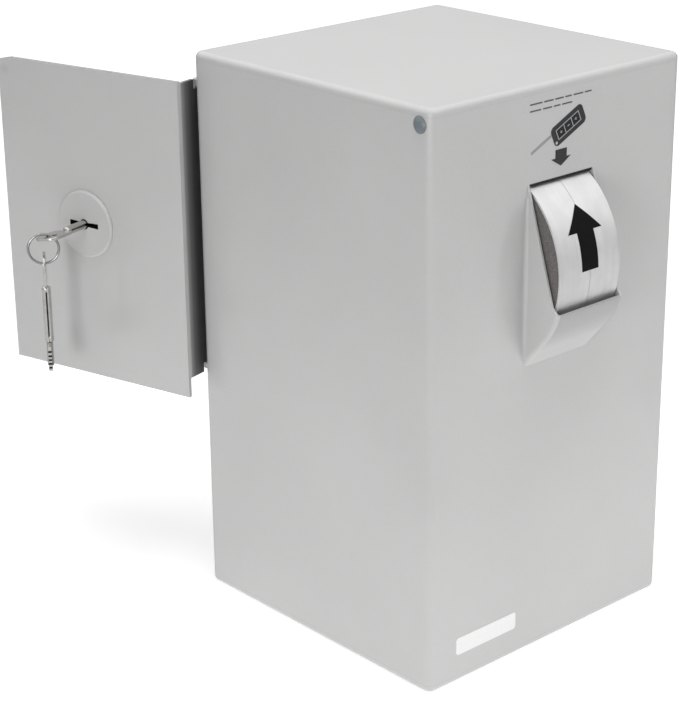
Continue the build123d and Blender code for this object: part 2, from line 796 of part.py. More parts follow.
def keyhole(out):
    """The keyhole's outline at a distance out from the hinge axis: a round centre between two wings
    that widen outward."""
    half_length = keyhole_length / 2
    with BuildSketch(door_plane(key_along, out, key_height, "out")) as hole:
        with BuildLine():
            Polyline(
                (-half_length, -keyhole_flare / 2),
                (0, -keyhole_waist / 2),
                (half_length, -keyhole_flare / 2),
                (half_length, keyhole_flare / 2),
                (0, keyhole_waist / 2),
                (-half_length, keyhole_flare / 2),
                close=True,
            )
        make_face()
        Circle(keyhole_centre_radius)
    return hole.sketch


# Round plate over the keyhole, its edge bevelled, painted with the door.
with BuildPart() as keyhole_rosette:
    with BuildSketch(door_plane(0, door_stand, 0, "out")):
        with Locations((-key_along, key_height)):
            Circle(rosette_radius)
    extrude(amount=rosette_thickness)
    beyond = door_plane(key_along, door_stand + 2 * rosette_thickness, key_height, "out").origin
    outer_rim = keyhole_rosette.edges().filter_by(GeomType.CIRCLE).sort_by_distance(beyond)[0]
    chamfer(outer_rim, rosette_bevel)
    extrude(keyhole(door_stand), amount=rosette_thickness, mode=Mode.SUBTRACT)
finish("keyhole_rosette", keyhole_rosette)

lock_centre = (-(lock_near + lock_far) / 2, key_height)
boss_spacing = (lock_width - 2 * lock_boss_inset, lock_height - 2 * lock_boss_inset)

# Lock case, open towards the safe's inside, with a screw boss in each corner.
with BuildPart() as lock_case:
    with BuildSketch(door_plane(0, lock_open_face, 0, "out")):
        with Locations(lock_centre):
            Rectangle(lock_width, lock_height)
    extrude(amount=lock_depth)
    with BuildSketch(door_plane(0, lock_open_face, 0, "out")):
        with Locations(lock_centre):
            Rectangle(lock_width - 2 * lock_wall, lock_height - 2 * lock_wall)
            with GridLocations(*boss_spacing, 2, 2):
                Circle(lock_boss_radius, mode=Mode.SUBTRACT)
    extrude(amount=lock_depth - lock_wall, mode=Mode.SUBTRACT)
    with BuildSketch(door_plane(0, lock_open_face, 0, "out")):
        with Locations(lock_centre):
            with GridLocations(*boss_spacing, 2, 2):
                Circle(lock_screw_radius)
    extrude(amount=lock_screw_length, mode=Mode.SUBTRACT)
    extrude(keyhole(panel_inner), amount=-lock_wall, mode=Mode.SUBTRACT)
    with BuildSketch(door_plane(lock_far - lock_wall, (bolt_inner + bolt_outer) / 2, key_height, "up")):
        with Locations((lock_wall / 2, 0)):
            Rectangle(lock_wall, bolt_thickness + 2 * bolt_gap)
    extrude(amount=bolt_height / 2 + bolt_gap, both=True, mode=Mode.SUBTRACT)
finish("lock_case", lock_case)

with BuildPart() as lock_cover:
    with BuildSketch(door_plane(0, lock_open_face, 0, "out")):
        with Locations(lock_centre):
            Rectangle(lock_width, lock_height)
            with GridLocations(*boss_spacing, 2, 2):
                Circle(lock_screw_radius, mode=Mode.SUBTRACT)
    extrude(amount=-lock_cover_sheet)
finish("lock_cover", lock_cover)

with BuildPart() as lock_screws:
    with BuildSketch(door_plane(0, lock_open_face - lock_cover_sheet, 0, "out")):
        with Locations(lock_centre):
            with GridLocations(*boss_spacing, 2, 2):
                Circle(lock_screw_radius)
    extrude(amount=lock_screw_length + lock_cover_sheet)
    with BuildSketch(door_plane(0, lock_open_face - lock_cover_sheet, 0, "out")):
        with Locations(lock_centre):
            with GridLocations(*boss_spacing, 2, 2):
                Circle(lock_screw_head)
    extrude(amount=-lock_screw_head_height)
finish("lock_screws", lock_screws)

# Bolt, drawn back. Its tail is hollowed round the key's sweep.
with BuildPart() as lock_bolt:
    with BuildSketch(door_plane(0, bolt_inner, 0, "out")):
        with Locations((-(key_along + bolt_tip) / 2, key_height)):
            Rectangle(bolt_tip - key_along, bolt_height)
        with Locations((-key_along, key_height)):
            Circle(talon_radius, mode=Mode.SUBTRACT)
    extrude(amount=bolt_thickness)
finish("lock_bolt", lock_bolt)

# Levers on their post, each with a round window for the key's bits.
lever_post_place = (-(key_along + lever_post_along), key_height + lever_post_up)
lever_middle = (-(key_along + (lever_reach_right - lever_reach_left) / 2), key_height)
with BuildPart() as lock_levers:
    for layer in range(lever_count):
        with BuildSketch(door_plane(0, lock_open_face + lever_from_cover + layer * lever_pitch, 0, "out")):
            with Locations(lever_middle):
                RectangleRounded(lever_reach_left + lever_reach_right, lever_height, lock_wall)
            with Locations((-key_along, key_height)):
                Circle(lever_window_radius, mode=Mode.SUBTRACT)
            with Locations(lever_post_place):
                Circle(lever_post_radius + running_gap, mode=Mode.SUBTRACT)
        extrude(amount=lever_thickness)
finish("lock_levers", lock_levers)

with BuildPart() as lever_post:
    with BuildSketch(door_plane(0, lock_open_face, 0, "out")):
        with Locations(lever_post_place):
            Circle(lever_post_radius)
    extrude(amount=lock_depth - lock_wall)
finish("lever_post", lever_post)

# ==== keys and their ring ====


def key_piece(tip, across, along):
    """A whole key from its tip: across is the direction of its bow's width, along runs to the bow."""
    outline = Plane(origin=tip, x_dir=across, z_dir=across.cross(along))
    section = Plane(origin=tip, x_dir=across, z_dir=along)
    bow_middle = bit_length + shank_length + bow_length / 2
    with BuildPart() as key:
        with BuildSketch(outline):
            with Locations((0, bow_middle)):
                RectangleRounded(bow_width, bow_length, bow_corner)
            with Locations((0, bow_middle + bow_length / 2 - bow_hole_from_end)):
                Circle(bow_hole_radius, mode=Mode.SUBTRACT)
        extrude(amount=bow_thickness / 2, both=True)
        with BuildSketch(outline):
            with Locations((0, bit_length / 2)):
                Rectangle(bit_width, bit_length)
            for place, depth in bit_notches:
                for side in (-1, 1):
                    with Locations((side * (bit_width - depth) / 2, place + notch_width / 2)):
                        Rectangle(depth, notch_width, mode=Mode.SUBTRACT)
        extrude(amount=bit_thickness / 2, both=True)
        with BuildSketch(section):
            Circle(bit_core_radius)
        extrude(amount=bit_length)
        with BuildSketch(section.offset(bit_length)):
            Circle(shank_radius)
        extrude(amount=shank_length + shank_into_bow)
    return key


key_plane = door_plane(key_along, key_tip, key_height, "out")
key_out = key_plane.z_dir
door_along = key_plane.x_dir * -1
key_lean = radians(key_turn_angle)
key_across = door_along * cos(key_lean) - Vector(0, 0, sin(key_lean))
lock_key = key_piece(key_plane.origin, key_across, key_out)
finish("lock_key", lock_key)

# The ring passes down through the bow's hole and back up past its corner, and hangs on the metal
# between them, touching it at both ends of its upper side.
hole_from_tip = bit_length + shank_length + bow_length - bow_hole_from_end
hole_centre = key_plane.origin + key_out * hole_from_tip
ring_dir = key_out * cos(radians(ring_turn_angle)) + door_along * sin(radians(ring_turn_angle))
ring_axis = Vector(0, 0, 1).cross(ring_dir)
corner_along = bow_hole_from_end - bow_corner
corner_across = bow_width / 2 - bow_corner
half_way = corner_along * cos(radians(ring_turn_angle)) + corner_across * sin(radians(ring_turn_angle))
bow_exit = half_way + sqrt(half_way**2 + bow_corner**2 - corner_along**2 - corner_across**2)
bow_fall = sin(radians(ring_turn_angle)) * tan(key_lean)  # how the bow's metal sinks along the ring's plane
ring_inner_radius = ring_radius - ring_wire_radius
bar_run = bow_exit - bow_hole_radius
bar_half = bar_run * sqrt(1 + bow_fall**2) / 2
ring_drop = sqrt((ring_inner_radius - ring_clearance) ** 2 - bar_half**2)
bar_lean = atan(bow_fall)
ring_offset = (bow_hole_radius + bow_exit) / 2 - ring_drop * sin(bar_lean)
bar_top = bow_thickness / 2 - bow_fall * (bow_hole_radius + bow_exit) / 2
ring_centre = hole_centre + ring_dir * ring_offset + Vector(0, 0, bar_top - ring_drop * cos(bar_lean))
with BuildPart() as key_ring:
    with BuildSketch(Plane(origin=ring_centre, x_dir=ring_dir, z_dir=(0, 0, 1))):
        with Locations((ring_radius, 0)):
            Circle(ring_wire_radius)
    revolve(axis=Axis(ring_centre, ring_axis))
finish("key_ring", key_ring)

# Spare key, hung from the lowest point of the ring with its flat side across the wire.
spare_hole = ring_centre - Vector(0, 0, ring_radius - ring_wire_radius - hang_gap + bow_hole_radius)
spare_tip = spare_hole - Vector(0, 0, hole_from_tip)
spare_key = key_piece(spare_tip, ring_axis, Vector(0, 0, 1))
finish("spare_key", spare_key)
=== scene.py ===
from math import cos, radians, sin

import bpy
import numpy as np
from mathutils import Matrix, Vector


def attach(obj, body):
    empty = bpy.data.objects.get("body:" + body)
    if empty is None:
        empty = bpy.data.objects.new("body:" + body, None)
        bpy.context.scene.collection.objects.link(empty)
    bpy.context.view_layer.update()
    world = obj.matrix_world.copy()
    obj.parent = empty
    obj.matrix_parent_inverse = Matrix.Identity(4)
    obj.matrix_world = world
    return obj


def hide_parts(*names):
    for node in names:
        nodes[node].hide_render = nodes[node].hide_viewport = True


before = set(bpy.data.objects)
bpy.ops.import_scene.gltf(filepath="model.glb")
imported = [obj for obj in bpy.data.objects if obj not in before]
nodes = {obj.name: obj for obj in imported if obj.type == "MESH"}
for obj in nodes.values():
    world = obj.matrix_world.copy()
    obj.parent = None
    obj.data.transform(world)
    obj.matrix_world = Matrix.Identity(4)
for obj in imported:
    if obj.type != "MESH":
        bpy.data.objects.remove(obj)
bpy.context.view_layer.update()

# --------------------------------------------------------------------------------------------------
# The case: sheet steel bent in one piece round the front and sides, with top, bottom and rear plates
# welded on close to their bends. Ground, then powder coated satin silver-grey inside and out.

case_grey = (0.515, 0.513, 0.512, 1)
case_gloss = 0.33
case_varnish = {"Coat_Weight": 0.70, "Coat_Roughness": 0.12}
case_peel = 0.22
case_seams = (("Z", 0.296), ("Z", 0.004), ("Y", 0.0835))
case_seam_width = 0.0005
# the share of colour left in the painted shade along each weld seam
case_seam_painted_shade = 0.93
cloud_strength = 0.025
fleck_strength = 0.03
gloss_swing = 0.035
peel_height = 0.00012
noise_span = (0.3, 0.7)  # nearly all values of a noise lie between these


def put(tree, kind, inputs=(), **settings):
    """Puts a node in a tree. inputs pairs a socket's name or number with a value or a socket."""
    node = tree.nodes.new(kind)
    for name, value in settings.items():
        setattr(node, name, value)
    for name, value in dict(inputs).items():
        if isinstance(value, bpy.types.NodeSocket):
            tree.links.new(value, node.inputs[name])
        else:
            node.inputs[name].default_value = value
    return node


def between(tree, value, low, high, to_low, to_high, **settings):
    """The value carried from the span low to high onto the span to_low to to_high, as a socket."""
    ends = {"Value": value, "From Min": low, "From Max": high, "To Min": to_low, "To Max": to_high}
    return put(tree, "ShaderNodeMapRange", ends, **settings).outputs[0]


def maths(tree, operation, *values):
    """One sum on numbers or sockets, as a socket."""
    return put(tree, "ShaderNodeMath", dict(enumerate(values)), operation=operation).outputs[0]


def axis_of(tree, place, axis):
    """A place's X, Y or Z, as a socket."""
    return put(tree, "ShaderNodeSeparateXYZ", {0: place}).outputs[axis]


def noise(tree, place, scale, detail):
    """A noise at a place, as a socket. The scale is in waves to a metre."""
    waves = {"Vector": place, "Scale": scale, "Detail": detail}
    return put(tree, "ShaderNodeTexNoise", waves).outputs["Fac"]


def shaded(tree, color, shade):
    """A colour made lighter or darker by a number, as a socket."""
    factors = {0: color, "Scale": shade}
    return put(tree, "ShaderNodeVectorMath", factors, operation="SCALE").outputs[0]


def bumped(tree, height, strength, distance):
    """The normal of a surface that a height from 0 to 1 lifts by up to distance, as a socket."""
    swell = {"Strength": strength, "Distance": distance, "Height": height}
    return put(tree, "ShaderNodeBump", swell).outputs[0]


def effect_group(name, *inputs):
    """A shader node group with the named inputs (name, kind, value) that gives a finish's colour,
    roughness and normal."""
    tree = bpy.data.node_groups.new(name, "ShaderNodeTree")
    for label, kind, value in (("Place", "Vector", None), *inputs):
        socket = tree.interface.new_socket(label, in_out="INPUT", socket_type="NodeSocket" + kind)
        if value is not None:
            socket.default_value = value
    for label, kind in (("Color", "Color"), ("Roughness", "Float"), ("Normal", "Vector")):
        tree.interface.new_socket(label, in_out="OUTPUT", socket_type="NodeSocket" + kind)
    return tree, tree.nodes.new("NodeGroupInput").outputs


def group_gives(tree, **results):
    """Joins a group's results to its outputs of the same names."""
    put(tree, "NodeGroupOutput", results)


def finish_of(name, group, values, **shader):
    """A material whose shader takes colour, roughness and normal from a finish group, with the
    group's own values and with plain values for the shader's other sockets."""
    material = bpy.data.materials.new(name)
    material.use_nodes = True
    tree = material.node_tree
    surface = tree.nodes["Principled BSDF"]
    for label, value in shader.items():
        surface.inputs[label.replace("_", " ")].default_value = value
    place = put(tree, "ShaderNodeTexCoord").outputs["Object"]
    effect = put(tree, "ShaderNodeGroup", {}, node_tree=group, name="finish")
    for label, value in values.items():
        effect.inputs[label].default_value = value
    tree.links.new(place, effect.inputs["Place"])
    for label, socket in (("Color", "Base Color"), ("Roughness", "Roughness"), ("Normal", "Normal")):
        tree.links.new(effect.outputs[label], surface.inputs[socket])
    return material


def shade_over(material, make_shade):
    """Multiplies a finish's colour by the number that make_shade(tree, place) gives at a place."""
    tree = material.node_tree
    place = put(tree, "ShaderNodeTexCoord").outputs["Object"]
    color = shaded(tree, tree.nodes["finish"].outputs["Color"], make_shade(tree, place))
    tree.links.new(color, tree.nodes["Principled BSDF"].inputs["Base Color"])


def dress(material, *names):
    """Gives carried-over parts this material alone."""
    for name in names:
        nodes[name].data.materials.clear()
        nodes[name].data.materials.append(material)


# Powder coat: a fine orange-peel swell, fine flecks, a faint cloud of colour, slightly uneven gloss.
powder_coat, into = effect_group(
    "powder_coat",
    ("Color", "Color", case_grey),
    ("Roughness", "Float", case_gloss),
    ("Peel", "Float", case_peel),
)
peel = noise(powder_coat, into["Place"], scale=800.0, detail=2.0)
cloud = noise(powder_coat, into["Place"], scale=11.0, detail=3.0)
fleck = noise(powder_coat, into["Place"], scale=2600.0, detail=1.0)
cloud_shade = between(powder_coat, cloud, *noise_span, 1 - cloud_strength, 1 + cloud_strength)
fleck_shade = between(powder_coat, fleck, *noise_span, 1 - fleck_strength, 1 + fleck_strength)
coat_shade = maths(powder_coat, "MULTIPLY", cloud_shade, fleck_shade)
uneven = between(powder_coat, cloud, *noise_span, -gloss_swing, gloss_swing)
group_gives(
    powder_coat,
    Color=shaded(powder_coat, into["Color"], coat_shade),
    Roughness=maths(powder_coat, "ADD", into["Roughness"], uneven),
    Normal=bumped(powder_coat, peel, into["Peel"], peel_height),
)


def coated(name, peel_strength=case_peel):
    """The case's own powder coat, as a material."""
    values = {"Color": case_grey, "Roughness": case_gloss, "Peel": peel_strength}
    return finish_of(name, powder_coat, values, **case_varnish)


def seam_painted_shade(tree, place):
    """1 everywhere but in a soft thin line along each dressed weld seam, where it sinks: painted
    shade in the seam's slight groove.
    """
    shade = 1.0
    for axis, at in case_seams:
        away = maths(tree, "ABSOLUTE", maths(tree, "SUBTRACT", axis_of(tree, place, axis), at))
        ends = (0.0, case_seam_width, case_seam_painted_shade, 1.0)
        seam = between(tree, away, *ends, interpolation_type="SMOOTHSTEP")
        shade = maths(tree, "MULTIPLY", shade, seam)
    return shade


case_paint = coated("case_paint")
shade_over(case_paint, seam_painted_shade)
dress(case_paint, "body_wrap", "top_plate", "bottom_plate", "rear_plate")

# --------------------------------------------------------------------------------------------------
# The door's frame and its hinge lugs: a folded steel collar set into the rear plate and two cut steel
# lugs, all welded to the rear and coated with the case.

plain_paint = coated("plain_paint")
dress(plain_paint, "door_collar", "hinge_lug_lower", "hinge_lug_upper")

# --------------------------------------------------------------------------------------------------
# The plug and the mat: a moulded grey polyamide plug pressed into the lifting hole, and a sheet of
# black foam cut to the floor, which keeps falling keys from rattling.

plug_grey = (0.150, 0.176, 0.190, 1)
foam_and_shadow_black = (0.018, 0.018, 0.018, 1)
pit_depth = 0.00015
rubbed_gloss = 0.05

# Moulded surface: a fine even grain with light and dark specks, for plastics, rubber, foam and ink.
moulded_grain, into = effect_group(
    "moulded_grain",
    ("Color", "Color", plug_grey),
    ("Roughness", "Float", 0.5),
    ("Grain", "Float", 2500.0),
    ("Speck", "Float", 0.10),
    ("Depth", "Float", 0.3),
)
grain = noise(moulded_grain, into["Place"], scale=into["Grain"], detail=3.0)
around_zero = between(moulded_grain, grain, *noise_span, -1.0, 1.0)
speck = maths(moulded_grain, "MULTIPLY", around_zero, into["Speck"])
speck_shade = maths(moulded_grain, "ADD", speck, 1.0)
rubbed = maths(moulded_grain, "MULTIPLY", around_zero, -rubbed_gloss)
group_gives(
    moulded_grain,
    Color=shaded(moulded_grain, into["Color"], speck_shade),
    Roughness=maths(moulded_grain, "ADD", into["Roughness"], rubbed),
    Normal=bumped(moulded_grain, grain, into["Depth"], pit_depth),
)


def moulded(name, color, roughness, grain, speck, depth, **shader):
    """A moulded or printed material: the grain in waves to a metre, the specks' contrast from 0 to 1
    and the strength of the pits."""
    values = {"Color": color, "Roughness": roughness, "Grain": grain, "Speck": speck, "Depth": depth}
    return finish_of(name, moulded_grain, values, **shader)


plug_plastic = moulded("plug_plastic", plug_grey, 0.38, grain=1500.0, speck=0.05, depth=0.1)
dress(plug_plastic, "hole_plug")
mat_foam = moulded("mat_foam", foam_and_shadow_black, 0.95, grain=900.0, speck=0.5, depth=1.0)
dress(mat_foam, "floor_mat")

# --------------------------------------------------------------------------------------------------
# The drum's carrier: two zinc plated cheeks on welded studs, a curved guard between them, nuts, and a
# moulded bush for each end of the axle.

zinc_grey = (0.52, 0.53, 0.53, 1)
bush_cream = (0.68, 0.66, 0.58, 1)
stain_span = (0.35, 0.65)
stain_shades = (0.95, 1.03)
line_gloss = 0.05
ridge_height = 0.00003

# Worked metal: fine lines drawn out along one direction, which vary its colour, gloss and height,
# over a faint stain.
worked_metal, into = effect_group(
    "worked_metal",
    ("Color", "Color", zinc_grey),
    ("Roughness", "Float", 0.35),
    ("Stretch", "Vector", (400.0, 400.0, 400.0)),
    ("Contrast", "Float", 0.06),
    ("Depth", "Float", 0.1),
)
stretching = {0: into["Place"], 1: into["Stretch"]}
drawn = put(worked_metal, "ShaderNodeVectorMath", stretching, operation="MULTIPLY").outputs[0]
lines = noise(worked_metal, drawn, scale=1.0, detail=4.0)
stain = noise(worked_metal, into["Place"], scale=70.0, detail=2.0)
line_height = between(worked_metal, lines, *noise_span, -1.0, 1.0)
line_shade = maths(worked_metal, "MULTIPLY_ADD", line_height, into["Contrast"], 1.0)
stain_shade = between(worked_metal, stain, *stain_span, *stain_shades)
metal_shade = maths(worked_metal, "MULTIPLY", line_shade, stain_shade)
group_gives(
    worked_metal,
    Color=shaded(worked_metal, into["Color"], metal_shade),
    Roughness=maths(worked_metal, "MULTIPLY_ADD", line_height, line_gloss, into["Roughness"]),
    Normal=bumped(worked_metal, lines, into["Depth"], ridge_height),
)


def worked(name, color, roughness, stretch, contrast, depth):
    """A bare metal: the lines in waves to a metre along X, Y and Z, their contrast and height."""
    values = {"Color": color, "Roughness": roughness}
    values.update({"Stretch": stretch, "Contrast": contrast, "Depth": depth})
    return finish_of(name, worked_metal, values, Metallic=1.0)


zinc_plate = worked("zinc_plate", zinc_grey, 0.42, (260.0, 260.0, 260.0), contrast=0.10, depth=0.1)
dress(zinc_plate, "cheek_left", "cheek_right", "drum_guard", "carrier_studs", "carrier_nuts")
bush_plastic = moulded("bush_plastic", bush_cream, 0.5, grain=1200.0, speck=0.04, depth=0.1)
dress(bush_plastic, "axle_bush_left", "axle_bush_right")

# --------------------------------------------------------------------------------------------------
# The drum: a rolled stainless cover and a folded pocket between two moulded discs. The cover is
# ground round the drum, so its fine streaks run that way, and a thin line is scored down its middle.

drum_bright = (0.79, 0.782, 0.785, 1)
disc_brown = (0.130, 0.122, 0.118, 1)
turned_bright = (0.60, 0.60, 0.60, 1)
spring_black = (0.035, 0.036, 0.040, 1)
film_color = (0.006, 0.006, 0.006, 1)
score_span = (0.00012, 0.00040)
score_dark = 0.93

drum_steel = worked(
    "drum_steel", drum_bright, 0.52, (420.0, 26.0, 26.0), contrast=0.035, depth=0.15
)


def score_shade(tree, place):
    """Dark in the scored line at the middle of the drum's width, 1 beside it."""
    away = maths(tree, "ABSOLUTE", axis_of(tree, place, "X"))
    return between(tree, away, *score_span, score_dark, 1.0, interpolation_type="SMOOTHSTEP")


shade_over(drum_steel, score_shade)
dress(drum_steel, "drum_cover", "drum_pocket")
disc_plastic = moulded("disc_plastic", disc_brown, 0.7, grain=2400.0, speck=0.55, depth=0.8)
dress(disc_plastic, "drum_disc_left", "drum_disc_right")
turned_steel = worked(
    "turned_steel", turned_bright, 0.28, (900.0, 900.0, 900.0), contrast=0.06, depth=0.15
)
dress(turned_steel, "drum_axle", "drum_stop_pin", "drum_tie_bars")
spring_steel = worked(
    "spring_steel", spring_black, 0.45, (700.0, 700.0, 700.0), contrast=0.2, depth=0.1
)
dress(spring_steel, "axle_clips")

# Up arrow on the cover: matt black film, cut out and stuck on.
film_black = moulded(
    "film_black", film_color, 0.55, grain=3000.0, speck=0.3, depth=0.1, Specular_IOR_Level=0.06
)
dress(film_black, "drum_arrow")

# --------------------------------------------------------------------------------------------------
# The hood: sheet steel folded and welded over the window, coated with the case. The weld along each
# side's foot is dressed to a small hollow bead.

front_face = -0.0875
hood_side = 0.0237
hood_belly_x = (0.0215, 0.0228)
hood_belly_y = (-0.0985, -0.0945)
hood_belly_z = (0.1660, 0.1830)
# the level of the painted shade on the hood's belly below the lip
hood_belly_painted_shade = 0.64
hood_bead_z = (0.1612, 0.2462)
hood_bead_radius = 0.0019
hood_bead_bury = 0.0003
hood_bead_least = 0.002
hood_bead_steps = 48
hood_bead_sides = 8
sharp_bend = radians(40)

hood_paint = coated("hood_paint")


def hood_painted_shade(tree, place):
    """1 on the hood's sides and foot, sinking where its rounded belly turns down below the lip: a
    painted shade for the darker reflection there.
    """
    across = maths(tree, "ABSOLUTE", axis_of(tree, place, "X"))
    height = axis_of(tree, place, "Z")
    up = between(tree, height, *hood_belly_z, 0.0, 1.0, interpolation_type="SMOOTHSTEP")
    inside = between(tree, across, *hood_belly_x, 1.0, 0.0)
    ahead = between(tree, axis_of(tree, place, "Y"), *hood_belly_y, 1.0, 0.0)
    belly = maths(tree, "MULTIPLY", maths(tree, "MULTIPLY", up, inside), ahead)
    return between(tree, belly, 0.0, 1.0, 1.0, hood_belly_painted_shade)


shade_over(hood_paint, hood_painted_shade)
dress(hood_paint, "drum_hood")


def skin(rows, joined=False):
    """Points and faces of a closed skin. Each row of points runs once round the piece, anticlockwise
    seen from where the rows are heading, and four-sided faces lie between one row and the next. The
    two end rows get a face each, or are joined to one another."""
    count, around = rows.shape[:2]
    index = np.arange(count * around).reshape(count, around)
    low = index if joined else index[:-1]
    high = np.roll(index, -1, axis=0) if joined else index[1:]
    corners = [low, np.roll(low, -1, 1), np.roll(high, -1, 1), high]
    faces = np.stack(corners, axis=-1).reshape(-1, 4).tolist()
    if not joined:
        faces += [index[0, ::-1].tolist(), index[-1].tolist()]
    return rows.reshape(-1, 3), faces


def piece_of(name, skins, material, body):
    """Puts skins into one mesh that rides on a body, smooth but for its sharp bends. Each skin's
    faces count on from the points of the skins before it."""
    starts = np.cumsum([0] + [len(points) for points, faces in skins]).tolist()
    all_points = np.concatenate([points for points, faces in skins]).tolist()
    all_faces = [
        [start + corner for corner in face]
        for start, (points, faces) in zip(starts, skins)
        for face in faces
    ]
    mesh = bpy.data.meshes.new(name)
    mesh.from_pydata(all_points, [], all_faces)
    mesh.shade_smooth()
    mesh.set_sharp_from_angle(angle=sharp_bend)
    mesh.materials.append(material)
    piece = bpy.data.objects.new(name, mesh)
    bpy.context.scene.collection.objects.link(piece)
    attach(piece, body)
    return piece


def hollow_bead(side):
    """A bead in the corner between the front and the hood's side: a quarter hollow whose radius
    swells from nothing at both ends by the fourth root of a parabola, carried up the corner."""
    bottom, top = hood_bead_z
    up = np.linspace(0, 1, hood_bead_steps)[:, None]
    radius = hood_bead_radius * np.clip(4 * up * (1 - up), hood_bead_least, 1) ** 0.25
    turn = np.linspace(0, np.pi / 2, hood_bead_sides)[None, :]
    buried = np.full_like(radius, -hood_bead_bury)
    out_x = np.concatenate([buried, radius * (1 - np.sin(turn))], axis=1)
    out_y = np.concatenate([buried, radius * (1 - np.cos(turn))], axis=1)
    x = side * (hood_side + out_x)
    y = front_face - out_y
    z = np.broadcast_to(bottom + (top - bottom) * up, x.shape)
    rows = np.stack([x, y, z], axis=-1)
    return skin(rows if side < 0 else rows[:, ::-1])


hood_beads = [hollow_bead(side) for side in (-1, 1)]
piece_of("hood_bead", hood_beads, hood_paint, "case")

# --------------------------------------------------------------------------------------------------
# The black line in the slot over the drum: a plain black strip under the front sheet's edge, hanging
# just below it over the cover, is a painted shadow standing for the shade in the gap.

slot_shadow_half_width = 0.0226
slot_shadow_y = (-0.0870, -0.0864)
slot_shadow_z = (0.2510, 0.2527)


def upright_strip(half_width, depths, heights):
    """A square-edged strip: the same rectangle of half_width and depths at each of two heights."""
    x = np.array([-1, 1, 1, -1]) * half_width
    y = np.repeat(depths, 2)
    return skin(np.stack([np.stack([x, y, np.full(4, level)], axis=-1) for level in heights]))


# Black for the painted shadow strip in the slot, the same black as the foam mat.
slot_shadow_black = moulded("slot_shadow_black", foam_and_shadow_black, 0.95, grain=1600.0, speck=0.5, depth=1.0)
slot_shadow = upright_strip(slot_shadow_half_width, slot_shadow_y, slot_shadow_z)
piece_of("slot_shadow_strip", [slot_shadow], slot_shadow_black, "case")

# --------------------------------------------------------------------------------------------------
# The prints on the front: a drawing of a car key's fob, an arrow down to the drum, two rows of fine
# dashes above them, all screen printed, and a bare white label stuck on below.

ink_dark = (0.028, 0.028, 0.030, 1)
ink_button = (0.010, 0.010, 0.011, 1)
ink_pale = (0.40, 0.405, 0.42, 1)
ink_blade = (0.29, 0.295, 0.305, 1)
ink_dash = (0.085, 0.085, 0.088, 1)
label_white = (0.80, 0.80, 0.80, 1)
fob_place = (0.004, 0.2769)
fob_tilt = radians(25)
print_bury = 0.00002
corner_steps = 5
button_side = 0.0046
button_pitch = 0.0056
button_corner = 0.0006
button_thick = 0.0001
line_width = 0.0004
line_corner = 0.00015
line_thick = 0.00014
window_half = (0.0085, 0.0026)
window_width = 0.0170
window_height = 0.0056
divider_height = 0.0052
sign_width = 0.0016
sign_height = 0.0014
dash_height = 0.00075
dash_corner = 0.0003
dash_thick = 0.00006
dash_gap = 0.0011
dash_start = -0.0234
dash_rows = (
    (0.2913, (0.0087, 0.0066, 0.0060, 0.0047, 0.0070, 0.0049)),
    (0.2880, (0.0080, 0.0064, 0.0047, 0.0073)),
)


def ink(name, color, speck, **shader):
    """A printed colour, as a material."""
    return moulded(name, color, 0.5, grain=2200.0, speck=speck, depth=0.1, **shader)


print_ink = ink("print_ink", ink_dark, 0.15, Specular_IOR_Level=0.3)
dress(print_ink, "fob_print", "down_arrow_print")
button_ink = ink("button_ink", ink_button, 0.15, Specular_IOR_Level=0.3)
pale_ink = ink("pale_ink", ink_pale, 0.10)
blade_ink = ink("blade_ink", ink_blade, 0.10)
dress(blade_ink, "blade_print")
dash_ink = ink("dash_ink", ink_dash, 0.15)


def rounded_loop(half_x, half_y, corner, steps):
    """Points round rectangles with rounded corners, anticlockwise, one row for each pair of half
    sizes: every corner is a quarter circle about a point set in by the corner's radius."""
    quarters = np.arange(4)[None, :, None] * np.pi / 2
    turn = np.linspace(0, np.pi / 2, steps)[None, None, :] + quarters
    sign_x = np.array([1, -1, -1, 1])[None, :, None]
    sign_y = np.array([1, 1, -1, -1])[None, :, None]
    x = sign_x * (np.reshape(half_x, (-1, 1, 1)) - corner) + corner * np.cos(turn)
    y = sign_y * (np.reshape(half_y, (-1, 1, 1)) - corner) + corner * np.sin(turn)
    return x.reshape(len(x), -1), y.reshape(len(y), -1)


def flat_print(across, up, width, height, corner, thick, tilt=0.0, about=(0.0, 0.0)):
    """A thin printed bar on the front face: a rounded rectangle at (across, up) from a point, turned
    by tilt about that point, and raised by thick."""
    x, z = rounded_loop([width / 2] * 2, [height / 2] * 2, corner, corner_steps)
    x, z = x + across, z + up
    y = np.broadcast_to(front_face - np.array([[-print_bury], [thick]]), x.shape)
    turned_x = about[0] + x * cos(tilt) - z * sin(tilt)
    turned_z = about[1] + x * sin(tilt) + z * cos(tilt)
    return skin(np.stack([turned_x, y, turned_z], axis=-1))


def on_fob(across, up, width, height, corner, thick):
    """A bar of the drawn fob, in the fob's own tilted directions."""
    return flat_print(across, up, width, height, corner, thick, fob_tilt, fob_place)


buttons = [
    on_fob(place * button_pitch, 0, button_side, button_side, button_corner, button_thick)
    for place in (-1, 0, 1)
]
piece_of("fob_buttons", buttons, button_ink, "case")

bars = [(0.0, side * window_half[1], window_width, line_width) for side in (1, -1)]
bars += [(side * window_half[0], 0.0, line_width, window_height) for side in (-1, 1)]
bars += [(side * button_pitch / 2, 0.0, line_width, divider_height) for side in (-1, 1)]
bars += [(place * button_pitch, 0.0, sign_width, line_width) for place in (-1, 0, 1)]
bars += [(side * button_pitch, 0.0, line_width, sign_height) for side in (-1, 1)]
fob_bars = [on_fob(*bar, line_corner, line_thick) for bar in bars]
piece_of("fob_lines", fob_bars, pale_ink, "case")

dashes = []
for up, lengths in dash_rows:
    ends = dash_start + np.cumsum(lengths) + dash_gap * np.arange(len(lengths))
    dashes += [
        flat_print(end - length / 2, up, length, dash_height, dash_corner, dash_thick)
        for end, length in zip(ends, lengths)
    ]
piece_of("print_dashes", dashes, dash_ink, "case")

label_film = moulded("label_film", label_white, 0.28, grain=2200.0, speck=0.01, depth=0.03)
dress(label_film, "front_label")
